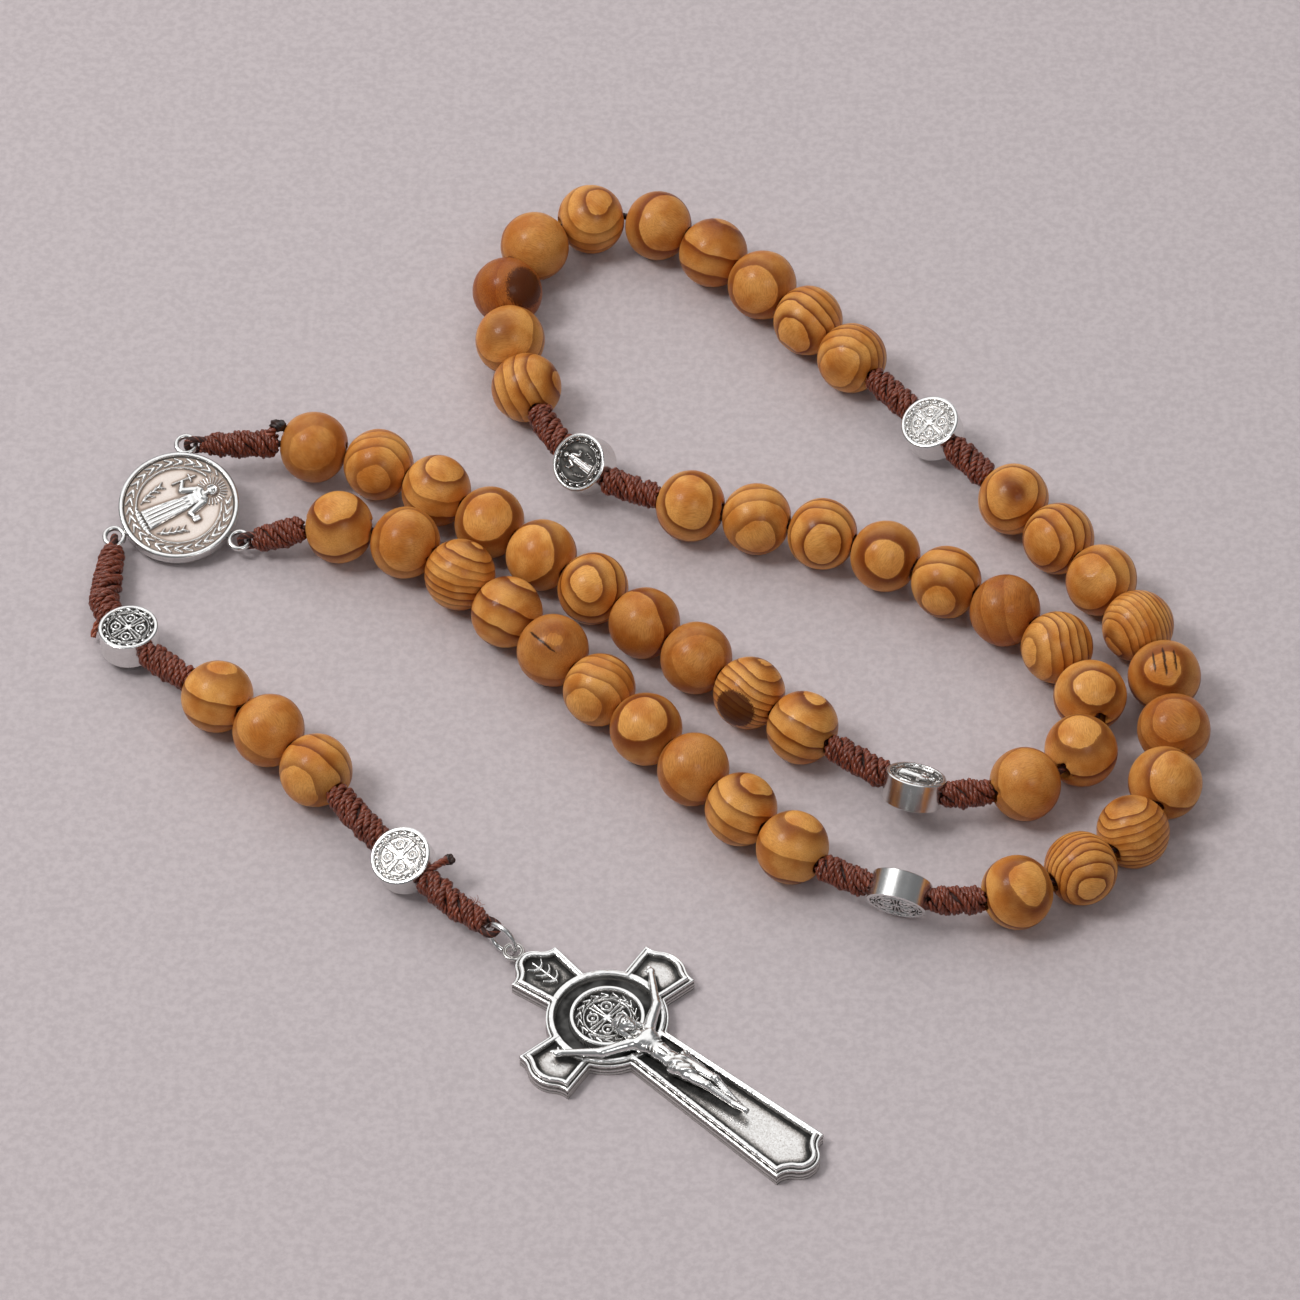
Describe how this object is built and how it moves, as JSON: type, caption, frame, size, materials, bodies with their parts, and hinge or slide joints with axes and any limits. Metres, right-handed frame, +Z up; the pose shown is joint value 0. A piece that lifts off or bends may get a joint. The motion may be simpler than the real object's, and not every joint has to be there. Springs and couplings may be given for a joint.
{
  "type": "rosary",
  "caption": "Prayer beads: turned wooden beads and cast medal beads on a knotted cord, with a round centrepiece, a drop, a jump ring and a cast crucifix.",
  "frame": {"origin": "middle of the layout, on the surface it lies on", "axes": "+Z up from the surface, +X and +Y across the layout, the crucifix towards -Y"},
  "size_m": [0.1526, 0.1747, 0.0102],
  "materials": {
    "wood": "satin varnish",
    "cord": "twisted satin cord",
    "cast_silver": "antique silver plate, dark in the recesses",
    "ring_wire": "polished wire"
  },
  "bodies": {
    "bead_cord": {"loop_cord": "cord"},
    "centrepiece": {"centrepiece": "cast_silver"},
    "drop_cord": {"drop_cord": "cord"},
    "jump_ring": {"jump_ring": "ring_wire"},
    "crucifix": {"crucifix_cross": "cast_silver", "crucifix_corpus": "cast_silver"},
    "medal_bead_1": {"medal_bead_1": "cast_silver"},
    "medal_bead_2": {"medal_bead_2": "cast_silver"},
    "medal_bead_3": {"medal_bead_3": "cast_silver"},
    "medal_bead_4": {"medal_bead_4": "cast_silver"},
    "medal_bead_drop_1": {"medal_bead_drop_1": "cast_silver"},
    "medal_bead_drop_2": {"medal_bead_drop_2": "cast_silver"},
    "wood_bead_1_01": {"wood_bead_1_01": "wood"},
    "wood_bead_1_02": {"wood_bead_1_02": "wood"},
    "wood_bead_1_03": {"wood_bead_1_03": "wood"},
    "wood_bead_1_04": {"wood_bead_1_04": "wood"},
    "wood_bead_1_05_06": {"wood_bead_1_05_06": "wood"},
    "wood_bead_1_07": {"wood_bead_1_07": "wood"},
    "wood_bead_1_08": {"wood_bead_1_08": "wood"},
    "wood_bead_1_09": {"wood_bead_1_09": "wood"},
    "wood_bead_1_10": {"wood_bead_1_10": "wood"},
    "wood_bead_2_01": {"wood_bead_2_01": "wood"},
    "wood_bead_2_02": {"wood_bead_2_02": "wood"},
    "wood_bead_2_03": {"wood_bead_2_03": "wood"},
    "wood_bead_2_04": {"wood_bead_2_04": "wood"},
    "wood_bead_2_05": {"wood_bead_2_05": "wood"},
    "wood_bead_2_06_07": {"wood_bead_2_06_07": "wood"},
    "wood_bead_2_08": {"wood_bead_2_08": "wood"},
    "wood_bead_2_09": {"wood_bead_2_09": "wood"},
    "wood_bead_2_10": {"wood_bead_2_10": "wood"},
    "wood_bead_3_01": {"wood_bead_3_01": "wood"},
    "wood_bead_3_02": {"wood_bead_3_02": "wood"},
    "wood_bead_3_03": {"wood_bead_3_03": "wood"},
    "wood_bead_3_04": {"wood_bead_3_04": "wood"},
    "wood_bead_3_05": {"wood_bead_3_05": "wood"},
    "wood_bead_3_06": {"wood_bead_3_06": "wood"},
    "wood_bead_3_07": {"wood_bead_3_07": "wood"},
    "wood_bead_3_08_09": {"wood_bead_3_08_09": "wood"},
    "wood_bead_3_10": {"wood_bead_3_10": "wood"},
    "wood_bead_4_01": {"wood_bead_4_01": "wood"},
    "wood_bead_4_02_03": {"wood_bead_4_02_03": "wood"},
    "wood_bead_4_04": {"wood_bead_4_04": "wood"},
    "wood_bead_4_05": {"wood_bead_4_05": "wood"},
    "wood_bead_4_06": {"wood_bead_4_06": "wood"},
    "wood_bead_4_07": {"wood_bead_4_07": "wood"},
    "wood_bead_4_08": {"wood_bead_4_08": "wood"},
    "wood_bead_4_09": {"wood_bead_4_09": "wood"},
    "wood_bead_4_10": {"wood_bead_4_10": "wood"},
    "wood_bead_5_01": {"wood_bead_5_01": "wood"},
    "wood_bead_5_02": {"wood_bead_5_02": "wood"},
    "wood_bead_5_03": {"wood_bead_5_03": "wood"},
    "wood_bead_5_04": {"wood_bead_5_04": "wood"},
    "wood_bead_5_05_06": {"wood_bead_5_05_06": "wood"},
    "wood_bead_5_07": {"wood_bead_5_07": "wood"},
    "wood_bead_5_08": {"wood_bead_5_08": "wood"},
    "wood_bead_5_09": {"wood_bead_5_09": "wood"},
    "wood_bead_5_10": {"wood_bead_5_10": "wood"},
    "wood_bead_drop_01": {"wood_bead_drop_01": "wood"},
    "wood_bead_drop_02": {"wood_bead_drop_02": "wood"},
    "wood_bead_drop_03": {"wood_bead_drop_03": "wood"}
  },
  "joints": [
    {"name": "centrepiece_tilt", "type": "hinge", "parent": "bead_cord", "child": "centrepiece", "pos_m": [-0.05967, 0.02962, 0.00438], "axis": [-0.6392, 0.769, 0], "range_deg": [0, 6]},
    {"name": "drop_swing", "type": "hinge", "parent": "centrepiece", "child": "drop_cord", "pos_m": [-0.07447, 0.02153, 0.00236], "axis": [0, 0, 1], "range_deg": [-15, 5]},
    {"name": "jump_ring_turn", "type": "hinge", "parent": "drop_cord", "child": "jump_ring", "pos_m": [-0.01955, -0.0488, 0.0027], "axis": [-0.6428, -0.766, 0], "range_deg": [0, 60]},
    {"name": "crucifix_turn", "type": "hinge", "parent": "jump_ring", "child": "crucifix", "pos_m": [-0.018, -0.0501, 0.0016], "axis": [0, 0, 1], "range_deg": [-30, 8]},
    {"name": "medal_bead_1_spin", "type": "hinge", "parent": "bead_cord", "child": "medal_bead_1", "pos_m": [0.0356, -0.02457, 0.005], "axis": [0.9316, -0.3634, 0], "continuous": true},
    {"name": "medal_bead_2_spin", "type": "hinge", "parent": "bead_cord", "child": "medal_bead_2", "pos_m": [-0.00906, 0.03437, 0.005], "axis": [-0.721, 0.693, 0], "continuous": true},
    {"name": "medal_bead_3_spin", "type": "hinge", "parent": "bead_cord", "child": "medal_bead_3", "pos_m": [0.03986, 0.04121, 0.005], "axis": [0.6283, -0.778, 0], "continuous": true},
    {"name": "medal_bead_4_spin", "type": "hinge", "parent": "bead_cord", "child": "medal_bead_4", "pos_m": [0.03323, -0.04278, 0.005], "axis": [-0.9596, 0.2815, 0], "continuous": true},
    {"name": "medal_bead_drop_1_spin", "type": "hinge", "parent": "drop_cord", "child": "medal_bead_drop_1", "pos_m": [-0.07137, 0.00343, 0.00378], "axis": [0.6075, -0.7922, 0.0581], "continuous": true},
    {"name": "medal_bead_drop_2_spin", "type": "hinge", "parent": "drop_cord", "child": "medal_bead_drop_2", "pos_m": [-0.03274, -0.03688, 0.0045], "axis": [0.6959, -0.7163, -0.0511], "continuous": true},
    {"name": "wood_bead_1_01_spin", "type": "hinge", "parent": "bead_cord", "child": "wood_bead_1_01", "pos_m": [-0.04704, 0.03744, 0.00525], "axis": [0.9904, -0.1251, -0.0592], "continuous": true},
    {"name": "wood_bead_1_02_spin", "type": "hinge", "parent": "bead_cord", "child": "wood_bead_1_02", "pos_m": [-0.03791, 0.03429, 0.005], "axis": [0.886, -0.4638, -0.0011], "continuous": true},
    {"name": "wood_bead_1_03_spin", "type": "hinge", "parent": "bead_cord", "child": "wood_bead_1_03", "pos_m": [-0.02972, 0.02937, 0.005], "axis": [0.8208, -0.5713, 0], "continuous": true},
    {"name": "wood_bead_1_04_spin", "type": "hinge", "parent": "bead_cord", "child": "wood_bead_1_04", "pos_m": [-0.0222, 0.0235, 0.005], "axis": [0.7656, -0.6433, 0], "continuous": true},
    {"name": "wood_bead_1_05_06_spin", "type": "hinge", "parent": "bead_cord", "child": "wood_bead_1_05_06", "pos_m": [-0.01136, 0.01425, 0.005], "axis": [0.7545, -0.6563, 0], "continuous": true},
    {"name": "wood_bead_1_07_spin", "type": "hinge", "parent": "bead_cord", "child": "wood_bead_1_07", "pos_m": [-0.00068, 0.0048, 0.005], "axis": [0.7455, -0.6666, 0], "continuous": true},
    {"name": "wood_bead_1_08_spin", "type": "hinge", "parent": "bead_cord", "child": "wood_bead_1_08", "pos_m": [0.00642, -0.00152, 0.005], "axis": [0.7476, -0.6641, 0], "continuous": true},
    {"name": "wood_bead_1_09_spin", "type": "hinge", "parent": "bead_cord", "child": "wood_bead_1_09", "pos_m": [0.01353, -0.00782, 0.005], "axis": [0.7511, -0.6602, 0], "continuous": true},
    {"name": "wood_bead_1_10_spin", "type": "hinge", "parent": "bead_cord", "child": "wood_bead_1_10", "pos_m": [0.02076, -0.014, 0.005], "axis": [0.7704, -0.6376, 0], "continuous": true},
    {"name": "wood_bead_2_01_spin", "type": "hinge", "parent": "bead_cord", "child": "wood_bead_2_01", "pos_m": [0.05056, -0.02397, 0.005], "axis": [0.9359, 0.3522, 0], "continuous": true},
    {"name": "wood_bead_2_02_spin", "type": "hinge", "parent": "bead_cord", "child": "wood_bead_2_02", "pos_m": [0.05833, -0.01805, 0.005], "axis": [0.5622, 0.827, 0], "continuous": true},
    {"name": "wood_bead_2_03_spin", "type": "hinge", "parent": "bead_cord", "child": "wood_bead_2_03", "pos_m": [0.05996, -0.00832, 0.005], "axis": [-0.231, 0.9729, 0], "continuous": true},
    {"name": "wood_bead_2_04_spin", "type": "hinge", "parent": "bead_cord", "child": "wood_bead_2_04", "pos_m": [0.0558, 0.00042, 0.005], "axis": [-0.5958, 0.8031, 0], "continuous": true},
    {"name": "wood_bead_2_05_spin", "type": "hinge", "parent": "bead_cord", "child": "wood_bead_2_05", "pos_m": [0.04891, 0.00716, 0.005], "axis": [-0.8096, 0.587, 0], "continuous": true},
    {"name": "wood_bead_2_06_07_spin", "type": "hinge", "parent": "bead_cord", "child": "wood_bead_2_06_07", "pos_m": [0.03682, 0.01478, 0.005], "axis": [-0.8653, 0.5013, 0], "continuous": true},
    {"name": "wood_bead_2_08_spin", "type": "hinge", "parent": "bead_cord", "child": "wood_bead_2_08", "pos_m": [0.02406, 0.02125, 0.005], "axis": [-0.9306, 0.3661, 0], "continuous": true},
    {"name": "wood_bead_2_09_spin", "type": "hinge", "parent": "bead_cord", "child": "wood_bead_2_09", "pos_m": [0.01495, 0.02411, 0.005], "axis": [-0.9687, 0.2481, 0], "continuous": true},
    {"name": "wood_bead_2_10_spin", "type": "hinge", "parent": "bead_cord", "child": "wood_bead_2_10", "pos_m": [0.00574, 0.02647, 0.005], "axis": [-0.9648, 0.2628, 0], "continuous": true},
    {"name": "wood_bead_3_01_spin", "type": "hinge", "parent": "bead_cord", "child": "wood_bead_3_01", "pos_m": [-0.01737, 0.04908, 0.005], "axis": [-0.3286, 0.9445, 0], "continuous": true},
    {"name": "wood_bead_3_02_spin", "type": "hinge", "parent": "bead_cord", "child": "wood_bead_3_02", "pos_m": [-0.01982, 0.05833, 0.005], "axis": [-0.1876, 0.9823, 0], "continuous": true},
    {"name": "wood_bead_3_03_spin", "type": "hinge", "parent": "bead_cord", "child": "wood_bead_3_03", "pos_m": [-0.02031, 0.06796, 0.005], "axis": [0.1211, 0.9926, 0], "continuous": true},
    {"name": "wood_bead_3_04_spin", "type": "hinge", "parent": "bead_cord", "child": "wood_bead_3_04", "pos_m": [-0.01652, 0.07694, 0.005], "axis": [0.6327, 0.7744, 0], "continuous": true},
    {"name": "wood_bead_3_05_spin", "type": "hinge", "parent": "bead_cord", "child": "wood_bead_3_05", "pos_m": [-0.00842, 0.08241, 0.005], "axis": [0.9666, 0.2562, 0], "continuous": true},
    {"name": "wood_bead_3_06_spin", "type": "hinge", "parent": "bead_cord", "child": "wood_bead_3_06", "pos_m": [0.00131, 0.08115, 0.005], "axis": [0.8996, -0.4367, 0], "continuous": true},
    {"name": "wood_bead_3_07_spin", "type": "hinge", "parent": "bead_cord", "child": "wood_bead_3_07", "pos_m": [0.0092, 0.07564, 0.005], "axis": [0.7564, -0.6541, 0], "continuous": true},
    {"name": "wood_bead_3_08_09_spin", "type": "hinge", "parent": "bead_cord", "child": "wood_bead_3_08_09", "pos_m": [0.01945, 0.06568, 0.005], "axis": [0.6768, -0.7362, 0], "continuous": true},
    {"name": "wood_bead_3_10_spin", "type": "hinge", "parent": "bead_cord", "child": "wood_bead_3_10", "pos_m": [0.02874, 0.05486, 0.005], "axis": [0.6349, -0.7726, 0], "continuous": true},
    {"name": "wood_bead_4_01_spin", "type": "hinge", "parent": "bead_cord", "child": "wood_bead_4_01", "pos_m": [0.05076, 0.02777, 0.005], "axis": [0.6332, -0.774, 0], "continuous": true},
    {"name": "wood_bead_4_02_03_spin", "type": "hinge", "parent": "bead_cord", "child": "wood_bead_4_02_03", "pos_m": [0.05958, 0.01655, 0.005], "axis": [0.5881, -0.8088, 0], "continuous": true},
    {"name": "wood_bead_4_04_spin", "type": "hinge", "parent": "bead_cord", "child": "wood_bead_4_04", "pos_m": [0.06702, 0.00433, 0.005], "axis": [0.4348, -0.9005, 0], "continuous": true},
    {"name": "wood_bead_4_05_spin", "type": "hinge", "parent": "bead_cord", "child": "wood_bead_4_05", "pos_m": [0.07022, -0.00473, 0.005], "axis": [0.2007, -0.9796, 0], "continuous": true},
    {"name": "wood_bead_4_06_spin", "type": "hinge", "parent": "bead_cord", "child": "wood_bead_4_06", "pos_m": [0.07108, -0.01429, 0.005], "axis": [-0.0212, -0.9998, 0], "continuous": true},
    {"name": "wood_bead_4_07_spin", "type": "hinge", "parent": "bead_cord", "child": "wood_bead_4_07", "pos_m": [0.06943, -0.02379, 0.005], "axis": [-0.3221, -0.9467, 0], "continuous": true},
    {"name": "wood_bead_4_08_spin", "type": "hinge", "parent": "bead_cord", "child": "wood_bead_4_08", "pos_m": [0.06476, -0.03224, 0.005], "axis": [-0.6291, -0.7773, 0], "continuous": true},
    {"name": "wood_bead_4_09_spin", "type": "hinge", "parent": "bead_cord", "child": "wood_bead_4_09", "pos_m": [0.05751, -0.03861, 0.005], "axis": [-0.8459, -0.5334, 0], "continuous": true},
    {"name": "wood_bead_4_10_spin", "type": "hinge", "parent": "bead_cord", "child": "wood_bead_4_10", "pos_m": [0.04884, -0.04273, 0.005], "axis": [-0.9458, -0.3249, 0], "continuous": true},
    {"name": "wood_bead_5_01_spin", "type": "hinge", "parent": "bead_cord", "child": "wood_bead_5_01", "pos_m": [0.01918, -0.03501, 0.005], "axis": [-0.7525, 0.6586, 0], "continuous": true},
    {"name": "wood_bead_5_02_spin", "type": "hinge", "parent": "bead_cord", "child": "wood_bead_5_02", "pos_m": [0.0123, -0.0284, 0.005], "axis": [-0.6902, 0.7237, 0], "continuous": true},
    {"name": "wood_bead_5_03_spin", "type": "hinge", "parent": "bead_cord", "child": "wood_bead_5_03", "pos_m": [0.0059, -0.02135, 0.005], "axis": [-0.6632, 0.7484, 0], "continuous": true},
    {"name": "wood_bead_5_04_spin", "type": "hinge", "parent": "bead_cord", "child": "wood_bead_5_04", "pos_m": [-0.00041, -0.01425, 0.005], "axis": [-0.666, 0.7459, 0], "continuous": true},
    {"name": "wood_bead_5_05_06_spin", "type": "hinge", "parent": "bead_cord", "child": "wood_bead_5_05_06", "pos_m": [-0.00995, -0.00366, 0.005], "axis": [-0.6716, 0.741, 0], "continuous": true},
    {"name": "wood_bead_5_07_spin", "type": "hinge", "parent": "bead_cord", "child": "wood_bead_5_07", "pos_m": [-0.01958, 0.00685, 0.005], "axis": [-0.6801, 0.7331, 0], "continuous": true},
    {"name": "wood_bead_5_08_spin", "type": "hinge", "parent": "bead_cord", "child": "wood_bead_5_08", "pos_m": [-0.02614, 0.01375, 0.005], "axis": [-0.713, 0.7011, 0.0011], "continuous": true},
    {"name": "wood_bead_5_09_spin", "type": "hinge", "parent": "bead_cord", "child": "wood_bead_5_09", "pos_m": [-0.0338, 0.01957, 0.00504], "axis": [-0.8692, 0.4944, 0.007], "continuous": true},
    {"name": "wood_bead_5_10_spin", "type": "hinge", "parent": "bead_cord", "child": "wood_bead_5_10", "pos_m": [-0.04305, 0.02249, 0.00498], "axis": [-0.9977, 0.0597, -0.0315], "continuous": true},
    {"name": "wood_bead_drop_01_spin", "type": "hinge", "parent": "drop_cord", "child": "wood_bead_drop_01", "pos_m": [-0.05874, -0.00844, 0.00498], "axis": [0.7687, -0.6374, 0.0542], "continuous": true},
    {"name": "wood_bead_drop_02_spin", "type": "hinge", "parent": "drop_cord", "child": "wood_bead_drop_02", "pos_m": [-0.05152, -0.01466, 0.00519], "axis": [0.7411, -0.6713, -0.0069], "continuous": true},
    {"name": "wood_bead_drop_03_spin", "type": "hinge", "parent": "drop_cord", "child": "wood_bead_drop_03", "pos_m": [-0.04494, -0.02161, 0.00507], "axis": [0.6191, -0.7852, -0.014], "continuous": true}
  ]
}
